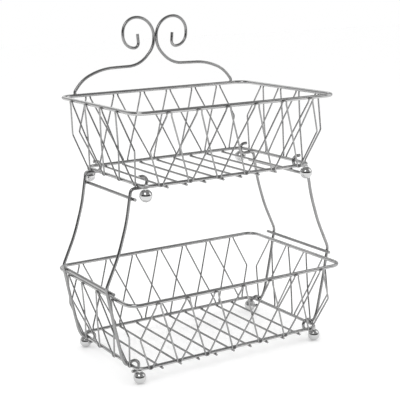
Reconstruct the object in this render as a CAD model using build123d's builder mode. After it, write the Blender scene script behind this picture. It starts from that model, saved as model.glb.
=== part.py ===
from build123d import *
from math import asin, atan2, cos, hypot, radians, sin, sqrt, tan
import os

# Tiered wire basket. Two flared wire baskets stand one above the other. The lower one
# carries a bent wire frame at each end, hooked over its end base wires, and the upper
# one rests in the hooks at the tops of those frames and lifts straight off.
# Millimetres. The origin is on the floor under the middle, X runs along the baskets,
# Y to the rear, where the handle is, and Z up. Wire sizes are diameters, and basket
# sizes are taken between the centre lines of the wires.

# Wire gauges
rim_wire = 6.0
base_wire = 5.5
frame_wire = 5.0
rod_wire = 3.5
lattice_wire = 2.6

# Gaps: welded wires, and the upper basket above the hooks that carry it
weld_gap = 0.05
rest_gap = 0.3

# Baskets
upper_rim_length = 360.0
upper_base_length = 306.0
lower_rim_length = 396.0
lower_base_length = 345.0
rim_width = 258.0
base_width = 198.0
basket_height = 112.8
tier_rise = 282.0
rim_corner = 20.0
base_corner = 15.0

# Wall lattice: hairpin loops side by side, and the legs between them that cross
upper_pairs = 6
lower_pairs = 7
end_pairs = 4
upper_pair_margin = 25.5
lower_pair_margin = 19.5
end_margin = 22.5
pair_width = 8.0
top_knee = 5.4
base_knee = 5.4
knee_bend = 8.0
kink_bend = 6.0
crossing_bend = 30.0

# Floor rods
upper_rods = 8
lower_rods = 9
upper_rod_margin = 37.5
lower_rod_margin = 40.5
rod_overhang = 4.0

# Ball feet
ball = 20.0
ball_neck = 1.5
neck_width = 6.0
foot_flat = 4.0

# End frames: two uprights with a hook at each end, joined by two crossbars
hook_slope = 35.0
lower_curl = 8.8
lower_curl_setback = 2.4
lower_curl_tip = 1.5
hook_dip_run = 6.5
hook_dip_bend = 6.0
upright_standoff = 12.0
upright_bend = 60.0
bulge_bend = 18.0
neck_bend = 260.0
shoulder_out = 11.0
shoulder_bend = 7.0
upper_curl = 8.5
upper_curl_inset = 8.0
upper_curl_tip = 4.5
lower_curl_eighths = 5
upper_curl_eighths = 4
upper_bar_overhang = 8.5
lower_bar_overhang = 12.0

# Handle: two mirrored wires that rise from the rear rim and end in scrolls back to back
handle_foot_reach = 152.3
handle_height = 121.5
handle_foot_rise = 7.0
handle_foot_bend = 6.0
handle_rise_bend = 60.0
handle_sweep_bend = 110.0
handle_turn_bend = 50.0
handle_waist_bend = 36.0
scroll_reach = 60.9
scroll_base = 71.2
scroll_eye_reach = 31.5
scroll_tip_rise = 23.0
scroll_tip_lean = 2.0

# Shares. The upright follows the lower wall at shares of its height, at shares of its
# standoff, then runs in from the bulge to the shoulder at shares of that way in and up.
upright_wall_shares = [(0.142, 1.02), (0.665, 0.92), (1.148, 0.73)]
upright_neck_shares = [(0.482, 0.329), (0.805, 0.654)]
upper_bar_share = 0.716
lower_bar_share = 0.86
# The handle's arm, at shares of the foot's reach and of the handle's height.
handle_arm_shares = [(0.9, 0.215), (0.66, 0.335), (0.2, 0.345)]
handle_waist_share = 0.593
# The bends of the scroll, as shares of its width, its height and its eye.
scroll_crown_share = 0.555
scroll_side_share = 0.43
scroll_heel_share = 0.71
scroll_eye_share = 0.27
# A hairpin loop's bends take this share of its width, a curl's this share of its radius.
loop_bend_share = 0.45
curl_bend_share = 0.94

# Derived places
ball_radius = ball / 2
flat_depth = ball_radius - sqrt(ball_radius**2 - (foot_flat / 2) ** 2)
ball_drop = base_wire / 2 + weld_gap + ball_neck + ball_radius
lower_base_z = ball_drop + ball_radius - flat_depth
upper_base_z = lower_base_z + tier_rise
upright_y = base_width / 2 - end_margin
rod_drop = (base_wire + rod_wire) / 2 + weld_gap
loop_drop = rod_drop - (rod_wire + lattice_wire) / 2 - weld_gap
base_seat = (base_wire + lattice_wire) / 2 + weld_gap
rim_seat = (rim_wire + lattice_wire) / 2 + weld_gap
half_eighth = radians(22.5)
corner_angle = 90.0

pieces = []


def keep(solid, name):
    """Label a finished piece and put it on the list of pieces to write."""
    solid.label = name
    pieces.append(solid)


def bend_at(before, corner, after, bend):
    """Start, middle and end of the arc of radius bend that rounds a corner."""
    back = (before - corner).normalized()
    on = (after - corner).normalized()
    half_angle = radians(back.get_angle(on)) / 2
    run = bend / tan(half_angle)
    centre = corner + (back + on).normalized() * (bend / sin(half_angle))
    return corner + back * run, centre + (corner - centre).normalized() * bend, corner + on * run


def bent_wire(plane, points, bends, diameter):
    """A round wire along straight runs joined by bends, given in the plane's own axes."""
    stops = [Vector(point) for point in points]
    corners = zip(stops, stops[1:], stops[2:], bends)
    with BuildPart() as wire:
        with BuildLine(plane) as route:
            here = stops[0]
            for before, corner, after, bend in corners:
                start, middle, end = bend_at(before, corner, after, bend)
                Line(tuple(here), tuple(start))
                ThreePointArc(tuple(start), tuple(middle), tuple(end))
                here = end
            Line(tuple(here), tuple(stops[-1]))
        with BuildSketch(Plane(origin=route.line @ 0, z_dir=route.line % 0)):
            Circle(diameter / 2)
        sweep()
    return wire.part


def straight_wire(x, z, length, diameter):
    """A straight wire that runs front to rear, centred on the middle."""
    with BuildPart() as wire:
        with BuildSketch(Plane(origin=(x, 0, z), x_dir=(1, 0, 0), z_dir=(0, 1, 0))):
            Circle(diameter / 2)
        extrude(amount=length / 2, both=True)
    return wire.part


def hoop(length, width, corner, z, diameter):
    """A closed rectangular wire hoop with round corners, such as a rim or a base frame."""
    with BuildPart() as ring:
        with BuildSketch(Plane.XY.offset(z), mode=Mode.PRIVATE) as outline:
            RectangleRounded(length, width, corner)
        route = outline.sketch.wires()[0]
        with BuildSketch(Plane(origin=route @ 0, z_dir=route % 0)):
            Circle(diameter / 2)
        sweep(path=route)
    return ring.part


def spread(count, span, margin):
    """Evenly spaced places along a base wire, the outer ones a margin from its corners."""
    pitch = (span - 2 * margin) / (count - 1)
    return [pitch * (i - (count - 1) / 2) for i in range(count)]


class Wall:
    """The leaning plane of one wall's lattice, which lies on the outside of rim and base wire."""

    def __init__(self, angle, base_half, rim_half, base_z):
        flare = rim_half - base_half
        slant = hypot(flare, basket_height)
        self.lean = atan2(flare, basket_height) + asin((rim_seat - base_seat) / slant)
        outward = Vector(cos(radians(angle)), sin(radians(angle)), 0)
        along = Vector(-outward.Y, outward.X, 0)
        normal = outward * cos(self.lean) - Vector(0, 0, sin(self.lean))
        foot = outward * base_half + Vector(0, 0, base_z) + normal * base_seat
        self.plane = Plane(origin=foot, x_dir=along, z_dir=normal)
        self.top = flare * sin(self.lean) + basket_height * cos(self.lean)
        self.bottom = (base_seat * sin(self.lean) - loop_drop) / cos(self.lean)


def loop(centre, level, knee, sides):
    """The points and bends of a hairpin loop's legs: knee and corner on each given side."""
    stops = []
    for side in sides:
        corner = ((centre + side * pair_width / 2, level, 0), pair_width * loop_bend_share)
        elbow = ((centre + side * pair_width / 2, level + knee, 0), knee_bend)
        stops += [elbow, corner] if side == sides[0] else [corner, elbow]
    return stops


def lattice_wire_route(wall, centres, outer):
    """One of a wall's two zigzag wires, which meet end to end under the first and last pair."""
    lift = (lattice_wire + weld_gap) / 2 if outer else -(lattice_wire + weld_gap) / 2
    half_pitch = (centres[1] - centres[0]) / 2
    middle = (wall.top + wall.bottom) / 2
    first, last = centres[0], centres[-1]
    kink = (middle, lift)
    stops = []
    if outer:
        stops += reversed(loop(first, wall.bottom, base_knee, [-1]))
        stops += [((first - half_pitch, *kink), kink_bend)]
        stops += loop(first, wall.top, -top_knee, [-1, 1])
    else:
        stops += reversed(loop(first, wall.bottom, base_knee, [1]))
    at_top = not outer
    for centre in centres[1:]:
        stops += [((centre - half_pitch, *kink), crossing_bend)]
        if at_top:
            stops += loop(centre, wall.top, -top_knee, [-1, 1])
        elif centre != last:
            stops += loop(centre, wall.bottom, base_knee, [-1, 1])
        else:
            stops += loop(centre, wall.bottom, base_knee, [-1])
        at_top = not at_top
    if not at_top:
        stops += [((last + half_pitch, *kink), kink_bend)]
        stops += loop(last, wall.bottom, base_knee, [1])
    points = [(first, wall.bottom, 0)] + [point for point, bend in stops] + [(last, wall.bottom, 0)]
    return points, [bend for point, bend in stops]


def make_basket(tier, rim_length, base_length, base_z, pairs, pair_margin, rods, rod_margin):
    """A basket: rim, base frame, floor rods, two lattice wires on each wall, and ball feet."""
    keep(hoop(rim_length, rim_width, rim_corner, base_z + basket_height, rim_wire), f"{tier}_rim")
    keep(hoop(base_length, base_width, base_corner, base_z, base_wire), f"{tier}_base_frame")
    rod_length = base_width + 2 * rod_overhang
    for number, x in enumerate(spread(rods, base_length, rod_margin), 1):
        keep(straight_wire(x, base_z - rod_drop, rod_length, rod_wire), f"{tier}_floor_rod_{number}")
    long_wall = (base_width / 2, rim_width / 2, spread(pairs, base_length, pair_margin))
    end_wall = (base_length / 2, rim_length / 2, spread(end_pairs, base_width, end_margin))
    walls = {"right": end_wall, "rear": long_wall, "left": end_wall, "front": long_wall}
    for turns, (side, (base_half, rim_half, centres)) in enumerate(walls.items()):
        wall = Wall(corner_angle * turns, base_half, rim_half, base_z)
        for layer in ("outer", "inner"):
            points, bends = lattice_wire_route(wall, centres, layer == "outer")
            keep(bent_wire(wall.plane, points, bends, lattice_wire), f"{tier}_{side}_lattice_{layer}")
    inset = base_corner * (1 - sqrt(0.5))
    for end, x_side in (("left", -1), ("right", 1)):
        for face, y_side in (("front", -1), ("rear", 1)):
            x = x_side * (base_length / 2 - inset)
            y = y_side * (base_width / 2 - inset)
            keep(ball_foot(x, y, base_z - ball_drop), f"{tier}_ball_foot_{face}_{end}")


def ball_foot(x, y, z):
    """A ball on a short neck, with a small flat underneath, where it rests."""
    upward = (Align.CENTER, Align.CENTER, Align.MIN)
    with BuildPart(Plane((x, y, z))) as foot:
        Sphere(ball_radius)
        Cylinder(neck_width / 2, ball_radius + ball_neck, align=upward)
        split(bisect_by=Plane((x, y, z - ball_radius + flat_depth)), keep=Keep.TOP)
    return foot.part


def curl(centre, radius, first_angle, count):
    """Corners and bends of a curl, as many eighths of a turn as asked, anticlockwise."""
    reach = radius / cos(half_eighth)
    angles = [first_angle + (2 * i + 1) * half_eighth for i in range(count)]
    points = [centre + Vector(cos(angle), sin(angle)) * reach for angle in angles]
    return points, [radius * curl_bend_share] * count


def lower_hook():
    """The curl and dip at the foot of an upright, which ride over the lower end base wire."""
    slope = radians(hook_slope)
    down = Vector(cos(slope), -sin(slope))
    away = Vector(sin(slope), cos(slope))
    crossing = Vector(lower_base_length / 2, 0) + away * ((base_wire + frame_wire) / 2 + weld_gap)
    centre = crossing - down * lower_curl_setback - away * lower_curl
    eye, bends = curl(centre, lower_curl, radians(90) - slope, lower_curl_eighths)
    tip_angle = radians(90) - slope + 2 * lower_curl_eighths * half_eighth
    rim_point = centre + Vector(cos(tip_angle), sin(tip_angle)) * lower_curl
    tip = rim_point + Vector(-sin(tip_angle), cos(tip_angle)) * lower_curl_tip
    return [tip] + eye[::-1] + [crossing + down * hook_dip_run], bends + [hook_dip_bend]


def upper_hook(stub):
    """The curl at the top of an upright, in under the upper end base wire and up beside it."""
    centre = Vector(upper_base_length / 2 - upper_curl_inset, stub + upper_curl)
    eye, bends = curl(centre, upper_curl, radians(90), upper_curl_eighths)
    return eye[::-1] + [centre + Vector(upper_curl_tip, upper_curl)], bends


def upright_route():
    """The upright seen from the front: X outward, Y the height above the lower base wire."""
    points, bends = lower_hook()
    base_half = lower_base_length / 2
    flare = lower_rim_length / 2 - base_half
    for height, standoff in upright_wall_shares:
        out = base_half + flare * height + upright_standoff * standoff
        points.append(Vector(out, basket_height * height))
    belly, bulge = points[-2:]
    stub = tier_rise - (base_wire + frame_wire) / 2 - rest_gap
    shoulder = Vector(upper_base_length / 2 + shoulder_out, stub)
    way = shoulder - bulge
    for inward, upward in upright_neck_shares:
        points.append(bulge + Vector(way.X * inward, way.Y * upward))
    neck = points[-1]
    bends += [upright_bend] * (len(upright_wall_shares) - 1) + [bulge_bend]
    bends += [neck_bend] * len(upright_neck_shares) + [shoulder_bend]
    hook_points, hook_bends = upper_hook(stub)
    lower_bar = beside(belly, bulge, lower_bar_share)
    upper_bar = beside(neck, shoulder, upper_bar_share)
    return points + [shoulder] + hook_points, bends + hook_bends, lower_bar, upper_bar


def beside(start, end, share):
    """A crossbar's place on the inner side of the straight run from start to end."""
    way = end - start
    inward = Vector(-way.Y, way.X) * (1 / way.length)
    return start + way * share + inward * (frame_wire + weld_gap)


def make_end_frame(end, side):
    """One end frame: front and rear upright, and the two crossbars welded inside them."""
    points, bends, lower_bar, upper_bar = upright_route()
    for face, y in (("front", -upright_y), ("rear", upright_y)):
        plane = Plane(origin=(0, y, lower_base_z), x_dir=(side, 0, 0), z_dir=(0, -side, 0))
        keep(bent_wire(plane, points, bends, frame_wire), f"{end}_{face}_upright")
    bars = {"upper": (upper_bar, upper_bar_overhang), "lower": (lower_bar, lower_bar_overhang)}
    for tier, (bar, overhang) in bars.items():
        length = 2 * (upright_y + overhang)
        bar_wire = straight_wire(side * bar.X, lower_base_z + bar.Y, length, frame_wire)
        keep(bar_wire, f"{end}_{tier}_crossbar")


def make_handle(end, side):
    """One half of the handle: foot on the rear rim, long arm, and a scroll beside the middle."""
    middle = (0, rim_width / 2, upper_base_z + basket_height)
    plane = Plane(origin=middle, x_dir=(side, 0, 0), z_dir=(0, -side, 0))
    inner = (frame_wire + weld_gap) / 2
    width = scroll_reach - inner
    eye = scroll_reach - scroll_eye_reach
    points = [(handle_foot_reach, rim_wire / 2 + weld_gap), (handle_foot_reach, handle_foot_rise)]
    points += [(handle_foot_reach * out, handle_height * up) for out, up in handle_arm_shares]
    points += [
        (inner, handle_height * handle_waist_share),
        (inner, handle_height),
        (scroll_reach, handle_height),
        (scroll_reach, scroll_base),
        (scroll_eye_reach, scroll_base),
        (scroll_eye_reach + scroll_tip_lean, scroll_base + scroll_tip_rise),
    ]
    bends = [handle_foot_bend, handle_rise_bend, handle_sweep_bend, handle_turn_bend, handle_waist_bend]
    bends += [width * scroll_crown_share, width * scroll_side_share]
    bends += [eye * scroll_heel_share, eye * scroll_eye_share]
    keep(bent_wire(plane, points, bends, frame_wire), f"handle_scroll_{end}")


upper_sizes = (upper_rim_length, upper_base_length, upper_base_z)
lower_sizes = (lower_rim_length, lower_base_length, lower_base_z)
make_basket("upper", *upper_sizes, upper_pairs, upper_pair_margin, upper_rods, upper_rod_margin)
make_basket("lower", *lower_sizes, lower_pairs, lower_pair_margin, lower_rods, lower_rod_margin)
for end, side in (("left", -1), ("right", 1)):
    make_end_frame(end, side)
    make_handle(end, side)

os.makedirs("parts", exist_ok=True)
for piece in pieces:
    export_step(piece, f"parts/{piece.label}.step")
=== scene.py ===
import random
from math import asin, atan2, cos, hypot, radians, sin

import bmesh
import bpy
from mathutils import Matrix, Vector


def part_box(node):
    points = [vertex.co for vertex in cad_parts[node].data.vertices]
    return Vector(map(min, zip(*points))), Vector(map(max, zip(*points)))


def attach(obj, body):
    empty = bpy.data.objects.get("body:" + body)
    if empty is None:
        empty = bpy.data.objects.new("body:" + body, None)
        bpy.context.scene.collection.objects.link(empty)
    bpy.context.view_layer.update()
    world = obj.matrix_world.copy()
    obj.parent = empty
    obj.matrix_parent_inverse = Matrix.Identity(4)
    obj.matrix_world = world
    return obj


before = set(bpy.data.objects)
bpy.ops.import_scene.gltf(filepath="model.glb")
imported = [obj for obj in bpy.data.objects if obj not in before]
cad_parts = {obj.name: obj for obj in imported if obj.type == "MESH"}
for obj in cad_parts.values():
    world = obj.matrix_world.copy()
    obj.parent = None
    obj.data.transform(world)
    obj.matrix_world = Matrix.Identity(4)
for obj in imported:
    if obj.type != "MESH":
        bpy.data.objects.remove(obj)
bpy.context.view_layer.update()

MM = 0.001

# Wires and spacing, as the frame's pieces are made (metres)
RIM_WIRE = 6.0 * MM
BASE_WIRE = 5.5 * MM
FRAME_WIRE = 5.0 * MM
LATTICE_WIRE = 2.6 * MM
WELD_GAP = 0.05 * MM
LONG_PAIRS = {"upper": 6, "lower": 7}
LONG_MARGIN = {"upper": 25.5 * MM, "lower": 19.5 * MM}
END_PAIRS = 4
END_MARGIN = 22.5 * MM
HANDLE_CONTACT_SHARE = 0.70

# Weld nuggets: radius at each kind of joint, and height as a share of that radius
LOOP_WELD, LOOP_FLAT = 1.8 * MM, 0.55
CROSS_WELD, CROSS_FLAT = 1.75 * MM, 0.62
ROD_WELD, ROD_FLAT = 2.0 * MM, 0.5
BAR_WELD, BAR_FLAT = 2.5 * MM, 0.6
BALL_WELD, BALL_FLAT = 2.6 * MM, 0.5
BALL_WELD_SINK = 0.2 * MM
HANDLE_FOOT_GROWTH, HANDLE_FOOT_FLAT = 1.15, 0.5

# How uneven the nuggets are: their size, and their skin as a share of that
WELD_UNEVEN = 0.16
WELD_SKIN = 0.35
WELD_SUBDIVISIONS = 2
WELD_SEED = 11

# Plate: its noise patterns, and how deep the ripple is
CLOUD_SCALE = 26.0
CLOUD_DETAIL = 4.0
CLOUD_DARK_AT = 0.32
CLOUD_LIGHT_AT = 0.68
WEAR_SCALE = 140.0
WEAR_DETAIL = 6.0
WEAR_ROUGHNESS = 0.62
RIPPLE_DETAIL = 3.0
RIPPLE_DEPTH = 0.2 * MM
NOISE_ROUGHNESS = 0.5

# Camera, solved from the photograph (angles in degrees, lengths in metres)
AZIMUTH = 31.17
PITCH = 13.27
ROLL = -1.06
CAMERA_FROM_BASE = Vector((-854.83, -1382.28, 590.35)) * MM
SENSOR = 36.0
IMAGE = 400
FOCAL_PIXELS = 1017.37
CENTRE_SHIFT_PIXELS = (-11.67, 10.45)
CAMERA_REACH = 60.0

# Floor
FLOOR_SIZE = 14.0
FLOOR_CELLS = 8
FLOOR_COLOUR = (0.90, 0.90, 0.90, 1.0)
FLOOR_ROUGHNESS = 0.85
FLOOR_SHEEN = 0.1
FLOOR_GLOW = 0.16
WHITE = (1, 1, 1, 1)

# World: grey levels of the room and of the studio that the metal reflects
ROOM_LIGHT = 0.95
STUDIO_WALLS = 0.58
STUDIO_CEILING = 0.30
STUDIO_DARK = 0.03
DARK_TOWARDS = (-0.515, -0.857, 0.0)

# Edges in the studio: the sine of the height above the horizon, and for DARK_SIDE_EDGE
# the cosine of the angle from DARK_TOWARDS
WALLS_UP_TO = 0.40
CEILING_FROM = 0.55
DARK_SIDE_EDGE = 0.32
DARK_UP_TO = 0.26
DARK_GONE_AT = 0.50

# Area lamps: name, place, aim, side of the square, watts
LAMPS = (
    ("key", (-1.1, -0.9, 1.7), (0, 0, 0.25), 0.9, 7.0),
    ("fill", (1.4, -0.6, 1.1), (0, 0, 0.25), 1.1, 4.0),
    ("rear", (0.3, 1.6, 1.4), (0, 0, 0.3), 1.2, 4.0),
)


def node_box(name):
    """Lowest and highest corner of a node, as vectors."""
    low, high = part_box(name)
    return Vector(low), Vector(high)


def centre_of(name):
    """Middle of a node's box."""
    low, high = node_box(name)
    return (low + high) / 2


# Materials

def new_material(name):
    """A material with nodes, as (material, nodes, links, shader)."""
    material = bpy.data.materials.new(name)
    material.use_nodes = True
    nodes = material.node_tree.nodes
    return material, nodes, material.node_tree.links, nodes["Principled BSDF"]


def noise(nodes, links, coords, scale, detail, rough=NOISE_ROUGHNESS):
    """A noise value from 0 to 1."""
    texture = nodes.new("ShaderNodeTexNoise")
    texture.inputs["Scale"].default_value = scale
    texture.inputs["Detail"].default_value = detail
    texture.inputs["Roughness"].default_value = rough
    links.new(coords, texture.inputs["Vector"])
    return texture.outputs["Fac"]


def ramp(nodes, links, value, stops):
    """A colour ramp through (position, colour) stops."""
    node = nodes.new("ShaderNodeValToRGB")
    elements = node.color_ramp.elements
    while len(elements) < len(stops):
        elements.new(0.5)
    for element, (position, colour) in zip(elements, stops):
        element.position = position
        element.color = colour
    links.new(value, node.inputs["Fac"])
    return node.outputs["Color"]


def grey(level, warmth=0.0):
    """A grey colour, redder and less blue by the share warmth."""
    return (level * (1 + warmth), level, level * (1 - warmth), 1.0)


def span(nodes, links, value, low, high):
    """Map a 0 to 1 value onto low to high."""
    node = nodes.new("ShaderNodeMapRange")
    node.inputs["To Min"].default_value = low
    node.inputs["To Max"].default_value = high
    links.new(value, node.inputs["Value"])
    return node.outputs["Result"]


def plated_metal(name, light, dark, rough_low, rough_high, bump, ripple_scale):
    """Plate with cloudy reflectance, uneven roughness and a faint ripple."""
    material, nodes, links, shader = new_material(name)
    coords = nodes.new("ShaderNodeTexCoord").outputs["Object"]
    clouds = noise(nodes, links, coords, CLOUD_SCALE, CLOUD_DETAIL)
    stops = [(CLOUD_DARK_AT, dark), (CLOUD_LIGHT_AT, light)]
    links.new(ramp(nodes, links, clouds, stops), shader.inputs["Base Color"])
    shader.inputs["Metallic"].default_value = 1.0
    wear = noise(nodes, links, coords, WEAR_SCALE, WEAR_DETAIL, WEAR_ROUGHNESS)
    links.new(span(nodes, links, wear, rough_low, rough_high), shader.inputs["Roughness"])
    ripple = noise(nodes, links, coords, ripple_scale, RIPPLE_DETAIL)
    relief = nodes.new("ShaderNodeBump")
    relief.inputs["Strength"].default_value = bump
    relief.inputs["Distance"].default_value = RIPPLE_DEPTH
    links.new(ripple, relief.inputs["Height"])
    links.new(relief.outputs["Normal"], shader.inputs["Normal"])
    return material


# The greys were chosen to look like the photograph and are darker than real chrome. The wire and
# hoop greys are painted shade: darkened copies of one chrome plate, the thin wire darkest and
# the hoops a little lighter.
WIRE_CHROME_PAINTED_SHADE = plated_metal(
    "wire_chrome_painted_shade", light=grey(0.38, 0.004), dark=grey(0.28, -0.006),
    rough_low=0.14, rough_high=0.30, bump=0.10, ripple_scale=700.0)
HOOP_CHROME_PAINTED_SHADE = plated_metal(
    "hoop_chrome_painted_shade", light=grey(0.52, 0.004), dark=grey(0.41, -0.006),
    rough_low=0.12, rough_high=0.26, bump=0.08, ripple_scale=520.0)
BALL_CHROME = plated_metal(
    "ball_chrome", light=grey(0.66), dark=grey(0.60),
    rough_low=0.03, rough_high=0.07, bump=0.03, ripple_scale=260.0)
WELD_CHROME = plated_metal(
    "weld_chrome", light=grey(0.32, 0.01), dark=grey(0.20, 0.02),
    rough_low=0.22, rough_high=0.42, bump=0.35, ripple_scale=1500.0)


def plate_and_painted_shade_of(name):
    """The plate of a CAD node: balls, hoops (rims and base frames) or thin wire; the hoop and
    thin wire plates are darkened copies that carry painted shade.
    """
    if "ball_foot" in name:
        return BALL_CHROME
    if name.endswith("_rim") or name.endswith("_base_frame"):
        return HOOP_CHROME_PAINTED_SHADE
    return WIRE_CHROME_PAINTED_SHADE


def dress_cad_nodes():
    """Give every CAD node its plated finish, which on hoops and thin wire holds painted shade.
    """
    for name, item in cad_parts.items():
        if not item.material_slots:
            item.data.materials.append(None)
        for slot in item.material_slots:
            slot.link = "OBJECT"
            slot.material = plate_and_painted_shade_of(name)


# Weld nuggets

def add_nugget(mesh, place, normal, radius, flat, rng):
    """One weld nugget: a slightly uneven flattened ball, its flat way along normal."""
    turn = Vector(normal).to_track_quat("Z", "Y").to_matrix().to_4x4()
    wide = radius * (1 + WELD_UNEVEN * rng.uniform(-1, 1))
    long = radius * (1 + WELD_UNEVEN * rng.uniform(-1, 1))
    shape = Matrix.Diagonal((wide, long, radius * flat, 1.0))
    put = Matrix.Translation(place) @ turn @ shape
    made = bmesh.ops.create_icosphere(
        mesh, subdivisions=WELD_SUBDIVISIONS, radius=1.0, matrix=put)
    for vert in made["verts"]:
        away = vert.co - place
        vert.co = place + away * (1 + WELD_UNEVEN * WELD_SKIN * rng.uniform(-1, 1))


def weld_piece(name, body, nuggets, seed):
    """A mesh of weld nuggets that rides on a body. A nugget is (place, normal, radius, flat)."""
    rng = random.Random(seed)
    mesh = bmesh.new()
    for place, normal, radius, flat in nuggets:
        add_nugget(mesh, Vector(place), normal, radius, flat, rng)
    for face in mesh.faces:
        face.smooth = True
    data = bpy.data.meshes.new(name)
    mesh.to_mesh(data)
    mesh.free()
    piece = bpy.data.objects.new(name, data)
    bpy.context.scene.collection.objects.link(piece)
    data.materials.append(WELD_CHROME)
    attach(piece, body)


def spread(count, length, margin):
    """Places of count pairs along a wall, evenly between its margins."""
    pitch = (length - 2 * margin) / (count - 1)
    return [pitch * (i - (count - 1) / 2) for i in range(count)]


def wall_welds(angle, base_half, rim_half, base_z, height, centres):
    """Nuggets of one wall: at the rim, at the base wire, and where two legs cross."""
    base_seat = (BASE_WIRE + LATTICE_WIRE) / 2 + WELD_GAP
    rim_seat = (RIM_WIRE + LATTICE_WIRE) / 2 + WELD_GAP
    flare = rim_half - base_half
    lean = atan2(flare, height) + asin((rim_seat - base_seat) / hypot(flare, height))
    outward = Vector((cos(radians(angle)), sin(radians(angle)), 0))
    along = Vector((-outward.y, outward.x, 0))
    normal = outward * cos(lean) - Vector((0, 0, sin(lean)))
    base = outward * base_half + Vector((0, 0, base_z))
    rim = outward * rim_half + Vector((0, 0, base_z + height))
    middle = (base + normal * base_seat + rim + normal * rim_seat) / 2
    nuggets = []
    for centre in centres:
        for wire, thick in ((rim, RIM_WIRE), (base, BASE_WIRE)):
            place = wire + along * centre + normal * (thick / 2)
            nuggets.append((place, normal, LOOP_WELD, LOOP_FLAT))
    for left, right in zip(centres, centres[1:]):
        place = middle + along * ((left + right) / 2)
        nuggets.append((place, normal, CROSS_WELD, CROSS_FLAT))
    return nuggets


def basket_welds(tier, body):
    """All nuggets of one basket."""
    rim_low, rim_high = node_box(f"{tier}_rim")
    base_low, base_high = node_box(f"{tier}_base_frame")
    rim_half = rim_high - Vector((RIM_WIRE, RIM_WIRE, RIM_WIRE)) / 2
    base_half = base_high - Vector((BASE_WIRE, BASE_WIRE, BASE_WIRE)) / 2
    base_z = (base_low.z + base_high.z) / 2
    height = (rim_low.z + rim_high.z) / 2 - base_z
    long_centres = spread(LONG_PAIRS[tier], 2 * base_half.x, LONG_MARGIN[tier])
    end_centres = spread(END_PAIRS, 2 * base_half.y, END_MARGIN)
    nuggets = []
    for angle, half, rim, centres in (
        (0, base_half.x, rim_half.x, end_centres),
        (90, base_half.y, rim_half.y, long_centres),
        (180, base_half.x, rim_half.x, end_centres),
        (270, base_half.y, rim_half.y, long_centres),
    ):
        nuggets += wall_welds(angle, half, rim, base_z, height, centres)
    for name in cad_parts:
        if name.startswith(f"{tier}_floor_rod"):
            x = centre_of(name).x
            for y in (-base_half.y, base_half.y):
                place = (x, y, base_z - BASE_WIRE / 2)
                nuggets.append((place, (0, 0, 1), ROD_WELD, ROD_FLAT))
        if name.startswith(f"{tier}_ball_foot"):
            low, high = node_box(name)
            place = Vector(((low.x + high.x) / 2, (low.y + high.y) / 2, high.z - BALL_WELD_SINK))
            nuggets.append((place, (0, 0, 1), BALL_WELD, BALL_FLAT))
    weld_piece(f"{tier}_basket_welds", body, nuggets, WELD_SEED + len(nuggets))


def end_frame_welds():
    """Nuggets where the crossbars meet the uprights."""
    nuggets = []
    for end, side in (("left", -1), ("right", 1)):
        for tier in ("upper", "lower"):
            bar = centre_of(f"{end}_{tier}_crossbar")
            for face in ("front", "rear"):
                y = centre_of(f"{end}_{face}_upright").y
                place = (bar.x + side * FRAME_WIRE / 2, y, bar.z)
                nuggets.append((place, (side, 0, 0), BAR_WELD, BAR_FLAT))
    weld_piece("end_frame_welds", "stand", nuggets, WELD_SEED)


def handle_welds():
    """Nuggets under the handle's feet and where its two scrolls touch."""
    rim_top = node_box("upper_rim")[1].z
    nuggets = []
    for end, side in (("left", -1), ("right", 1)):
        low, high = node_box(f"handle_scroll_{end}")
        foot_x = (low.x if side < 0 else high.x) - side * FRAME_WIRE / 2
        y = (low.y + high.y) / 2
        foot = (foot_x, y, rim_top)
        nuggets.append((foot, (0, 0, 1), BAR_WELD * HANDLE_FOOT_GROWTH, HANDLE_FOOT_FLAT))
    # Both scrolls have the same height, so the last one's box gives the place of the touch
    touch_z = low.z + (high.z - low.z) * HANDLE_CONTACT_SHARE
    nuggets.append(((0, y, touch_z), (1, 0, 0), BAR_WELD, BAR_FLAT))
    weld_piece("handle_welds", "upper_basket", nuggets, WELD_SEED + 1)


# Stage, light and camera

def camera_axes():
    """Forward, right and up of the camera, from its azimuth, pitch and roll."""
    az, pitch, roll = radians(AZIMUTH), radians(PITCH), radians(ROLL)
    forward = Vector((sin(az) * cos(pitch), cos(az) * cos(pitch), -sin(pitch)))
    right = Vector((cos(az), -sin(az), 0))
    up = right.cross(forward)
    rolled_right = right * cos(roll) + up * sin(roll)
    rolled_up = up * cos(roll) - right * sin(roll)
    return forward, rolled_right, rolled_up


def add_camera():
    """The photograph's camera."""
    forward, right, up = camera_axes()
    base_z = centre_of("lower_base_frame").z
    data = bpy.data.cameras.new("camera")
    data.sensor_width = SENSOR
    data.lens = FOCAL_PIXELS * SENSOR / IMAGE
    data.shift_x = -CENTRE_SHIFT_PIXELS[0] / IMAGE
    data.shift_y = CENTRE_SHIFT_PIXELS[1] / IMAGE
    data.clip_end = CAMERA_REACH
    camera = bpy.data.objects.new("camera", data)
    bpy.context.scene.collection.objects.link(camera)
    turn = Matrix((right, up, -forward)).transposed().to_4x4()
    camera.matrix_world = Matrix.Translation(CAMERA_FROM_BASE + Vector((0, 0, base_z))) @ turn
    bpy.context.scene.camera = camera


def add_floor():
    """A white floor with a faint glow, so that it stays white and keeps the shadow."""
    mesh = bmesh.new()
    bmesh.ops.create_grid(
        mesh, x_segments=FLOOR_CELLS, y_segments=FLOOR_CELLS, size=FLOOR_SIZE / 2)
    data = bpy.data.meshes.new("floor")
    mesh.to_mesh(data)
    mesh.free()
    floor = bpy.data.objects.new("floor", data)
    bpy.context.scene.collection.objects.link(floor)
    material, _, _, shader = new_material("floor_white")
    shader.inputs["Base Color"].default_value = FLOOR_COLOUR
    shader.inputs["Roughness"].default_value = FLOOR_ROUGHNESS
    shader.inputs["Specular IOR Level"].default_value = FLOOR_SHEEN
    shader.inputs["Emission Color"].default_value = WHITE
    shader.inputs["Emission Strength"].default_value = FLOOR_GLOW
    data.materials.append(material)


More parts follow.
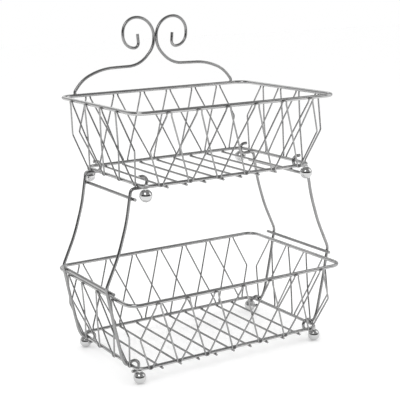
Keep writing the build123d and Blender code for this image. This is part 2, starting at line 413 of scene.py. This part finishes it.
def add_lamp(name, place, aim, size, watts):
    """A square area lamp that faces its aim."""
    data = bpy.data.lights.new(name, "AREA")
    data.size = size
    data.energy = watts
    lamp = bpy.data.objects.new(name, data)
    bpy.context.scene.collection.objects.link(lamp)
    lamp.location = place
    lamp.rotation_euler = (Vector(aim) - Vector(place)).to_track_quat("-Z", "Y").to_euler()


def add_world():
    """White to the camera and even light to other rays. The metal doesn't reflect that white
    but a studio: mid-grey walls, a dark zone where the camera stands, a darker ceiling."""
    world = bpy.data.worlds.new("studio")
    bpy.context.scene.world = world
    world.use_nodes = True
    nodes, links = world.node_tree.nodes, world.node_tree.links
    background = nodes["Background"]
    direction = nodes.new("ShaderNodeTexCoord").outputs["Generated"]
    towards = nodes.new("ShaderNodeVectorMath")
    towards.operation = "DOT_PRODUCT"
    towards.inputs[1].default_value = DARK_TOWARDS
    links.new(direction, towards.inputs[0])
    split = nodes.new("ShaderNodeSeparateXYZ")
    links.new(direction, split.inputs[0])
    height, wall, top = split.outputs["Z"], grey(STUDIO_WALLS), grey(STUDIO_CEILING)
    none, full = grey(0.0), grey(1.0)
    shell = ramp(nodes, links, height,
                 [(0.0, wall), (WALLS_UP_TO, wall), (CEILING_FROM, top), (1.0, top)])
    facing = ramp(nodes, links, towards.outputs["Value"], [(0.0, none), (DARK_SIDE_EDGE, full)])
    low = ramp(nodes, links, height, [(DARK_UP_TO, full), (DARK_GONE_AT, none)])
    zone = nodes.new("ShaderNodeMath")
    zone.operation = "MULTIPLY"
    links.new(facing, zone.inputs[0])
    links.new(low, zone.inputs[1])
    room = nodes.new("ShaderNodeMixRGB")
    room.inputs["Color2"].default_value = grey(STUDIO_DARK)
    links.new(zone.outputs["Value"], room.inputs["Fac"])
    links.new(shell, room.inputs["Color1"])
    rays = nodes.new("ShaderNodeLightPath")
    lit = nodes.new("ShaderNodeMixRGB")
    lit.inputs["Color1"].default_value = grey(ROOM_LIGHT)
    links.new(rays.outputs["Is Glossy Ray"], lit.inputs["Fac"])
    links.new(room.outputs["Color"], lit.inputs["Color2"])
    seen = nodes.new("ShaderNodeMixRGB")
    seen.inputs["Color2"].default_value = WHITE
    links.new(rays.outputs["Is Camera Ray"], seen.inputs["Fac"])
    links.new(lit.outputs["Color"], seen.inputs["Color1"])
    links.new(seen.outputs["Color"], background.inputs["Color"])


def main():
    add_camera()
    add_floor()
    add_world()
    for lamp in LAMPS:
        add_lamp(*lamp)
    dress_cad_nodes()
    basket_welds("upper", "upper_basket")
    basket_welds("lower", "stand")
    end_frame_welds()
    handle_welds()
    bpy.context.scene.view_settings.view_transform = "Standard"


main()
